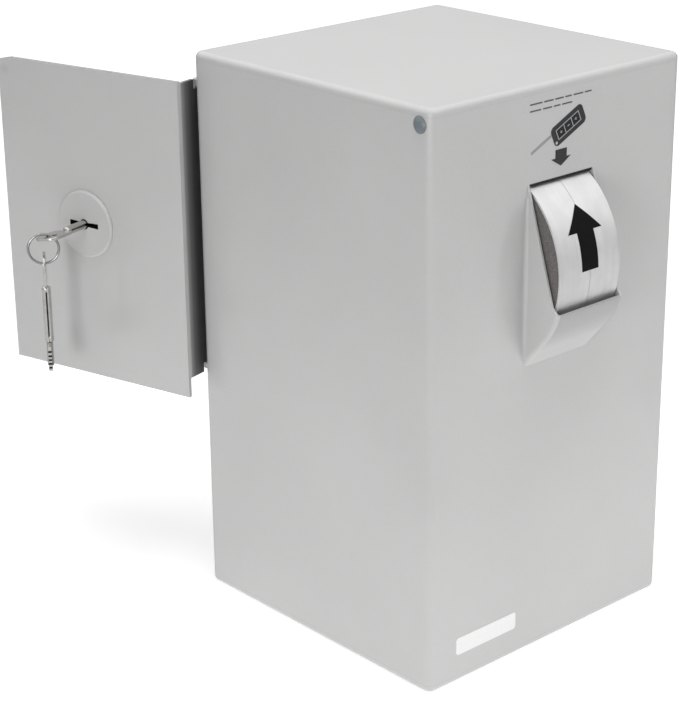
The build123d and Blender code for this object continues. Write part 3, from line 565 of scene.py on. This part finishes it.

# --------------------------------------------------------------------------------------------------
# The door: one sheet with a flange bent in along its hinge side, coated with the case, its knuckles
# turning on short steel pins. Painted shade darkens the flange, the keyhole's walls and a faint spot
# near the far top corner, where the face has a slight dimple. The keyhole's rose is a turned plate
# pressed on from outside and coated too.

rubber_black = (0.02, 0.02, 0.02, 1)
door_turn = radians(104.4)
door_along = np.array([cos(door_turn), sin(door_turn), 0.0])
door_out = np.array([-sin(door_turn), cos(door_turn), 0.0])
hinge_line = np.array([-0.080, 0.0915, 0.0])
# the painted shade of the dimple's faint spot: its reach and its level
dimple_spot_reach = (0.0006, 0.0042)
dimple_painted_shade = 0.90
keyhole_depth = 0.001
keyhole_reach = (0.0104, 0.0108)
# the black level of the painted shade on the keyhole's walls
keyhole_painted_shade = 0.015
top_edge_z = (0.28585, 0.28600)
top_edge_shade = 0.74
flange_along = (0.0010, 0.0014)
# Painted shade on the flange: each depth out from the hinge line and the share of colour left there.
flange_painted_shade_levels = ((0.0178, 0.85), (0.0165, 0.40), (0.0135, 0.17), (0.0090, 0.080))
rose_peel = 0.12
rose_wall = (0.00165, 0.00190)
rose_hole_reach = (0.0104, 0.0110)


def on_door(along, out, up):
    """A point of the open door, so far along it from the hinge line, out from it and up."""
    return hinge_line + along * door_along + out * door_out + np.array([0, 0, up])


key_spot = on_door(0.065, 0.020, 0.2005)
dimple_spot = on_door(0.1168, 0.020, 0.2790)
door_paint = coated("door_paint")
rosette_paint = coated("rosette_paint", rose_peel)


def span_from(tree, place, spot):
    """Distance from a spot, as a socket."""
    ends = {0: place, 1: tuple(spot.tolist())}
    return put(tree, "ShaderNodeVectorMath", ends, operation="DISTANCE").outputs["Value"]


def measure_along(tree, place, start, direction):
    """How far a place lies from a starting point in one direction, as a socket."""
    ends = {0: place, 1: tuple(start.tolist())}
    gone = put(tree, "ShaderNodeVectorMath", ends, operation="SUBTRACT").outputs[0]
    both = {0: gone, 1: tuple(direction.tolist())}
    return put(tree, "ShaderNodeVectorMath", both, operation="DOT_PRODUCT").outputs["Value"]


def flange_painted_shade(tree, place):
    """1 off the flange. On it, painted shade darkens the coat from each named depth to the next, the
    further in from the bend the darker, for the shade the flange lies in beside the case."""
    deep = measure_along(tree, place, hinge_line, door_out)
    shade = 1.0
    for (start, level), (end, lower) in zip(flange_painted_shade_levels, flange_painted_shade_levels[1:]):
        shade = maths(tree, "MULTIPLY", shade, between(tree, deep, end, start, lower / level, 1.0))
    along = measure_along(tree, place, hinge_line, door_along)
    on_flange = between(tree, along, *flange_along, 1.0, 0.0)
    return maths(tree, "MULTIPLY_ADD", maths(tree, "SUBTRACT", shade, 1.0), on_flange, 1.0)


def door_shade(tree, place):
    """1 on the face; black with painted shade on the walls of the keyhole; less with painted shade on
    the dimple's spot; less on the cut top edge; and sinking in from the bend with painted shade on
    the flange."""
    from_hole = span_from(tree, place, key_spot - keyhole_depth * door_out)
    hole = between(tree, from_hole, *keyhole_reach, keyhole_painted_shade, 1.0)
    dimple_ends = (*dimple_spot_reach, dimple_painted_shade, 1.0)
    from_dimple = span_from(tree, place, dimple_spot)
    dimple_shade = between(tree, from_dimple, *dimple_ends, interpolation_type="SMOOTHSTEP")
    upper = between(tree, axis_of(tree, place, "Z"), *top_edge_z, 1.0, top_edge_shade)
    face = maths(tree, "MULTIPLY", hole, dimple_shade)
    return maths(tree, "MULTIPLY", face, maths(tree, "MULTIPLY", upper, flange_painted_shade(tree, place)))


def rosette_shade(tree, place):
    """1 on the plate's face; black with painted shade on the walls of its keyhole, a third of a
    millimetre down.
    """
    rise = measure_along(tree, place, key_spot, door_out)
    on_face = between(tree, rise, *rose_wall, 0.0, 1.0)
    wide = between(tree, span_from(tree, place, key_spot), *rose_hole_reach, 0.0, 1.0)
    return between(tree, maths(tree, "MAXIMUM", on_face, wide), 0.0, 1.0, keyhole_painted_shade, 1.0)


shade_over(door_paint, door_shade)
shade_over(rosette_paint, rosette_shade)
dress(door_paint, "door_panel")
dress(rosette_paint, "keyhole_rosette")
dress(plain_paint, "door_knuckles")
dress(turned_steel, "hinge_pins", "hinge_washers")
buffer_rubber = moulded("buffer_rubber", rubber_black, 0.8, grain=1200.0, speck=0.2, depth=0.3)
dress(buffer_rubber, "door_buffers")

# --------------------------------------------------------------------------------------------------
# The lock: a blackened cast case, a zinc plated cover on four screws, three stamped brass levers on a
# post, and a nickel plated bolt.

case_black = (0.012, 0.012, 0.013, 1)
brass_yellow = (0.62, 0.47, 0.20, 1)
nickel_warm = (0.60, 0.58, 0.53, 1)

lock_black = moulded("lock_black", case_black, 0.6, grain=1400.0, speck=0.3, depth=0.5)
dress(lock_black, "lock_case")
dress(zinc_plate, "lock_cover")
dress(turned_steel, "lock_screws", "lever_post")
lever_brass = worked(
    "lever_brass", brass_yellow, 0.35, (300.0, 300.0, 1800.0), contrast=0.1, depth=0.15
)
dress(lever_brass, "lock_levers")
bolt_nickel = worked(
    "bolt_nickel", nickel_warm, 0.3, (300.0, 300.0, 2200.0), contrast=0.08, depth=0.15
)
dress(bolt_nickel, "lock_bolt")

# --------------------------------------------------------------------------------------------------
# The keys: die cast and nickel plated, each with a flat bow, a round shank grooved down both sides
# and two notched bits. One stands in the lock, the other hangs from it on a ring of bright wire.

key_bright = (0.54, 0.53, 0.51, 1)
key_painted_dark = 0.07
bit_length = 0.014
bit_half_width = 0.009
bit_thick = 0.002
bit_corner = 0.0003
bit_corner_steps = 4
bit_chamfer = (0.0003, 0.0004)  # along the key, across it
bit_notches = (
    (0.0014, 0.0020), (0.0036, 0.0042), (0.0058, 0.0014), (0.0080, 0.0034), (0.0104, 0.0024),
)
notch_width = 0.0011
notch_slope = 0.00004
shank_length = 0.031
shank_radius = 0.0024
shank_sides = 96
core_radius = 0.0018
bow_foot = bit_length + shank_length
core_tip = ((0.0, 0.0012), (0.0005, core_radius))  # height over the tip, radius
shoulder = ((-0.0002, core_radius), (0.0001, 0.0021), (0.0004, shank_radius))  # over the bits
neck = ((-0.0006, shank_radius), (-0.0001, 0.0021), (0.0005, 0.0009))  # over the bow's foot
groove_depth = 0.0006
groove_width = 0.00042
groove_from = 0.0165
groove_to = 0.0430
groove_ease = 0.0008
groove_margin = 0.001
groove_steps = 60
bow_length = 0.0185
bow_width = 0.015
bow_thick = 0.0015
bow_corner = 0.005
bow_edge = 0.0004
bow_hole_radius = 0.0028
bow_hole_up = bow_foot + bow_length - 0.0074
bow_search = 0.02  # past every point of the bow
bow_halvings = 40
bow_steps = 120
hole_wall = 0.0002
# Painted shade in the key's recesses: its share in the grooves, on the core between the bits, and on
# the notches and the bow hole's wall.
groove_painted_shade = 1.3
core_painted_shade = 0.25
cut_painted_shade = 0.8

key_nickel = worked(
    "key_nickel", key_bright, 0.17, (500.0, 500.0, 500.0), contrast=0.10, depth=0.1
)


def recess_painted_shade(tree, place):
    """1 on the open surface, dark with painted shade where the mesh's own point attribute marks a
    recess: the grooves, the core between the bits, the notches and the bow hole's wall."""
    recess_shade = put(tree, "ShaderNodeAttribute", {}, attribute_name="recess_shade").outputs["Fac"]
    return between(tree, recess_shade, 0.0, 1.0, 1.0, key_painted_dark)


shade_over(key_nickel, recess_painted_shade)


def on_key(stand, x, y, z):
    """Points at x, y and z in a key's own directions. A key's stand is the place of its tip and its
    directions across the bits, through them and along the shank."""
    tip, across, through, along = stand
    return tip + x[..., None] * across + y[..., None] * through + z[..., None] * along


def key_shank(stand):
    """The shank and the core between the bits, with their painted shade in the grooves and on the
    core:
    a circle whose radius follows the length and sinks by a bell curve in a groove on either side."""
    ends = (groove_from - groove_margin, groove_to + groove_margin)
    grooved = np.linspace(*ends, groove_steps)
    stations = np.array(
        [*core_tip]
        + [(bit_length + up, radius) for up, radius in shoulder]
        + [(height, shank_radius) for height in grooved]
        + [(bow_foot + up, radius) for up, radius in neck]
    )
    height, radius = stations[:, :1], stations[:, 1:]
    turn = np.linspace(0, 2 * np.pi, shank_sides, endpoint=False)[None, :]
    from_start = np.clip((height - groove_from) / groove_ease, 0, 1)
    from_end = np.clip((groove_to - height) / groove_ease, 0, 1)
    groove = from_start * from_end * np.exp(-((shank_radius * np.sin(turn) / groove_width) ** 2))
    reach = radius - groove_depth * groove
    lengths = np.broadcast_to(height, reach.shape)
    recess_shade = np.clip(groove * groove_painted_shade, 0, 1) + core_painted_shade * (height < bit_length)
    return skin(on_key(stand, reach * np.cos(turn), reach * np.sin(turn), lengths)), recess_shade


def key_bits(stand):
    """Both bits, with their painted shade in the notches: one rounded rectangle carried along the
    key, whose width drops at each notch and at the two ends."""
    ease, chamfer = bit_chamfer
    places = [(0.0, chamfer), (ease, 0.0)]
    for place, depth in bit_notches:
        far = place + notch_width
        places += [(place - notch_slope, 0.0), (place + notch_slope, depth)]
        places += [(far - notch_slope, depth), (far + notch_slope, 0.0)]
    places += [(bit_length - ease, 0.0), (bit_length, chamfer)]
    at, cut = np.array(places).T
    half_thick = np.full(len(cut), bit_thick / 2)
    x, y = rounded_loop(bit_half_width - cut, half_thick, bit_corner, bit_corner_steps)
    recess_shade = np.broadcast_to((cut[:, None] > 2 * chamfer) * cut_painted_shade, x.shape)
    return skin(on_key(stand, x, y, np.broadcast_to(at[:, None], x.shape))), recess_shade


def key_bow(stand):
    """The bow, with its painted shade on the hole's wall: a rounded rectangle carried round the hole,
    from the hole's edge to the outline. The distance to the outline is found by halving."""
    angle = np.linspace(0, 2 * np.pi, bow_steps, endpoint=False)
    toward = np.stack([np.cos(angle), np.sin(angle)])
    off_centre = np.array([[0.0], [bow_hole_up - (bow_foot + bow_length / 2)]])
    half = np.array([[bow_width / 2], [bow_length / 2]])
    near, far = np.zeros(len(angle)), np.full(len(angle), bow_search)
    for halving in range(bow_halvings):
        middle = (near + far) / 2
        beyond = np.abs(off_centre + toward * middle) - half + bow_corner
        reach = np.hypot(*np.maximum(beyond, 0)) + np.minimum(beyond.max(axis=0), 0)
        outside = reach > bow_corner
        near, far = np.where(outside, near, middle), np.where(outside, middle, far)
    half_thick = np.full(len(angle), bow_thick / 2)
    width, rise = rounded_loop(half_thick, (near - bow_hole_radius) / 2, bow_edge, corner_steps)
    ray = (near + bow_hole_radius)[:, None] / 2 + rise
    x, z = ray * toward[0][:, None], bow_hole_up + ray * toward[1][:, None]
    recess_shade = np.clip((bow_hole_radius + hole_wall - ray) / hole_wall, 0, 1) * cut_painted_shade
    return skin(on_key(stand, x, -width, z), joined=True), recess_shade


def key_of(name, body, tip, across, along):
    """A whole key that stands for the plain one of the same name."""
    stand = (tip, across, np.cross(along, across), along)
    skins, recess_shades = zip(key_shank(stand), key_bits(stand), key_bow(stand))
    key = piece_of(name + "_cast", skins, key_nickel, body)
    values = np.concatenate([recess_shade.reshape(-1) for recess_shade in recess_shades]).astype(np.float32)
    key.data.attributes.new("recess_shade", "FLOAT", "POINT").data.foreach_set("value", values)
    even = key.modifiers.new("even_normals", "WEIGHTED_NORMAL")
    even.keep_sharp = True
    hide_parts(name)


# The key in the lock: pushed in to its stop and turned a little from the keyhole's wings.
key_lean = radians(10)
key_pushed_in = 0.028
upright = np.array([0.0, 0.0, 1.0])

leaning = door_along * cos(key_lean) - upright * sin(key_lean)
key_of("lock_key", "key", key_spot - key_pushed_in * door_out, leaning, door_out)

# The ring and the spare key: the ring hangs in the first key's bow, and the spare key on the ring.
ring_bright = (0.32, 0.32, 0.32, 1)
ring_centre = np.array([-0.146681385, 0.145205456, 0.194056632])
ring_across = np.array([-0.823136, 0.567844, 0.0])
ring_axis = np.array([-0.567844, -0.823136, 0.0])
ring_radius = 0.0081
ring_wire = 0.0007
ring_play = 0.0003
ring_steps = 120
wire_sides = 20

spare_drop = ring_radius - ring_wire - ring_play + bow_hole_radius + bow_hole_up
key_of("spare_key", "spare", ring_centre - upright * spare_drop, ring_axis, upright)


def wire_ring(centre, across, axis, radius, wire):
    """A closed ring of round wire: a small circle carried round a large one."""
    around = np.linspace(0, 2 * np.pi, ring_steps, endpoint=False)[:, None]
    turn = np.linspace(0, 2 * np.pi, wire_sides, endpoint=False)[None, :]
    up = np.cross(axis, across)
    ray = across * np.cos(around)[..., None] + up * np.sin(around)[..., None]
    reach = (radius + wire * np.sin(turn))[..., None]
    return skin(centre + ray * reach + axis * (wire * np.cos(turn))[..., None], joined=True)


ring_steel = worked(
    "ring_steel", ring_bright, 0.22, (700.0, 700.0, 700.0), contrast=0.08, depth=0.1
)
ring_skin = wire_ring(ring_centre, ring_across, ring_axis, ring_radius, ring_wire)
key_wire = piece_of("key_wire", [ring_skin], ring_steel, "ring")
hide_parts("key_ring")

# --------------------------------------------------------------------------------------------------
# The studio: a white floor that runs out of sight and looks white to the camera, a pale dome for the
# metal to mirror, three soft lamps, and a camera at the photograph's viewing angle.

floor_half = 9
floor_albedo = 0.90
floor_glow = (0.50, 0.90)
floor_glow_reach = (0.35, 1.2)
floor_lamp = 0.65
floor_lamp_reach = (0.25, 0.75)
floor_shine = 0.15
dome_light = 0.12
dome_mirrored = (0.40, 1.40)
dome_rise = (0.0, 0.7)

floor_corners = [
    (-floor_half, -floor_half, 0), (floor_half, -floor_half, 0),
    (floor_half, floor_half, 0), (-floor_half, floor_half, 0),
]
floor_mesh = bpy.data.meshes.new("studio_floor")
floor_mesh.from_pydata(floor_corners, [], [(0, 1, 2, 3)])
floor = bpy.data.objects.new("studio_floor", floor_mesh)
bpy.context.scene.collection.objects.link(floor)
floor_white = bpy.data.materials.new("floor_white")
floor_white.use_nodes = True
tree = floor_white.node_tree
surface = tree.nodes["Principled BSDF"]
surface.inputs["Base Color"].default_value = (floor_albedo, floor_albedo, floor_albedo, 1)
surface.inputs["Roughness"].default_value = 0.9
surface.inputs["Specular IOR Level"].default_value = 0.0
path = put(tree, "ShaderNodeLightPath")
spot = put(tree, "ShaderNodeTexCoord").outputs["Object"]
away = put(tree, "ShaderNodeVectorMath", {0: spot}, operation="LENGTH").outputs["Value"]
to_camera = between(tree, away, *floor_glow_reach, *floor_glow)
to_object = between(tree, away, *floor_lamp_reach, floor_lamp, 0.0)
level = maths(tree, "MULTIPLY", to_object, path.outputs["Is Diffuse Ray"])
level = maths(tree, "MULTIPLY_ADD", path.outputs["Is Glossy Ray"], floor_shine, level)
level = maths(tree, "MULTIPLY_ADD", to_camera, path.outputs["Is Camera Ray"], level)
glow = put(tree, "ShaderNodeEmission", {"Color": (1, 1, 1, 1), "Strength": level})
both = put(tree, "ShaderNodeAddShader", {0: surface.outputs[0], 1: glow.outputs[0]})
tree.links.new(both.outputs[0], tree.nodes["Material Output"].inputs["Surface"])
floor.data.materials.append(floor_white)

world = bpy.data.worlds.new("studio")
bpy.context.scene.world = world
world.use_nodes = True
tree = world.node_tree
path = put(tree, "ShaderNodeLightPath")
seen = maths(tree, "MAXIMUM", path.outputs["Is Camera Ray"], path.outputs["Is Transmission Ray"])
rise = axis_of(tree, put(tree, "ShaderNodeTexCoord").outputs["Generated"], "Z")
mirrored_dome = between(tree, rise, *dome_rise, *dome_mirrored)
dome = between(tree, path.outputs["Is Glossy Ray"], 0.0, 1.0, dome_light, mirrored_dome)
background = tree.nodes["Background"]
background.inputs["Color"].default_value = (1, 1, 1, 1)
tree.links.new(between(tree, seen, 0.0, 1.0, dome, 1.0), background.inputs["Strength"])

# Each lamp's name, place, the point it is turned to, its width and height, watts, and whether gloss
# and metal mirror it.
lamps = (
    ("softbox_top", (-0.10, -0.05, 1.25), (0.0, 0.0, 0.15), (0.9, 0.9), 12.1, False),
    ("softbox_right", (1.0, -1.7, 0.20), (0.0, 0.0, 0.05), (1.3, 0.35), 12.0, False),
    ("softbox_left", (-1.68, -0.70, 0.25), (0.0, 0.0, 0.07), (0.50, 0.60), 10.8, True),
)
for label, place, aim, size, watts, mirrored in lamps:
    lamp_data = bpy.data.lights.new(label, "AREA")
    lamp_data.shape = "RECTANGLE"
    lamp_data.size, lamp_data.size_y = size
    lamp_data.energy = watts
    lamp = bpy.data.objects.new(label, lamp_data)
    bpy.context.scene.collection.objects.link(lamp)
    lamp.visible_glossy = mirrored
    lamp.location = place
    lamp.rotation_euler = (Vector(aim) - Vector(place)).to_track_quat("-Z", "Y").to_euler()

camera_place = Vector((-0.70866, -0.72244, 0.52177))
camera_azimuth = radians(-41.62)
camera_elevation = radians(20.98)
camera_roll = radians(-0.69)
camera_lens = 101.7
camera_sensor = 36.0
camera_reach = 50.0

level_back = Vector((sin(camera_azimuth), -cos(camera_azimuth), 0))
level_right = Vector((cos(camera_azimuth), sin(camera_azimuth), 0))
backward = level_back * cos(camera_elevation) + Vector((0, 0, 1)) * sin(camera_elevation)
level_up = backward.cross(level_right)
rolled_right = level_right * cos(camera_roll) + level_up * sin(camera_roll)
rolled_up = level_up * cos(camera_roll) - level_right * sin(camera_roll)
camera_axes = Matrix((rolled_right, rolled_up, backward)).transposed()
camera_data = bpy.data.cameras.new("photo_camera")
camera_data.lens = camera_lens
camera_data.sensor_width = camera_sensor
camera_data.clip_end = camera_reach
camera = bpy.data.objects.new("photo_camera", camera_data)
bpy.context.scene.collection.objects.link(camera)
camera.matrix_world = Matrix.Translation(camera_place) @ camera_axes.to_4x4()
bpy.context.scene.camera = camera

bpy.context.scene.view_settings.view_transform = "Standard"
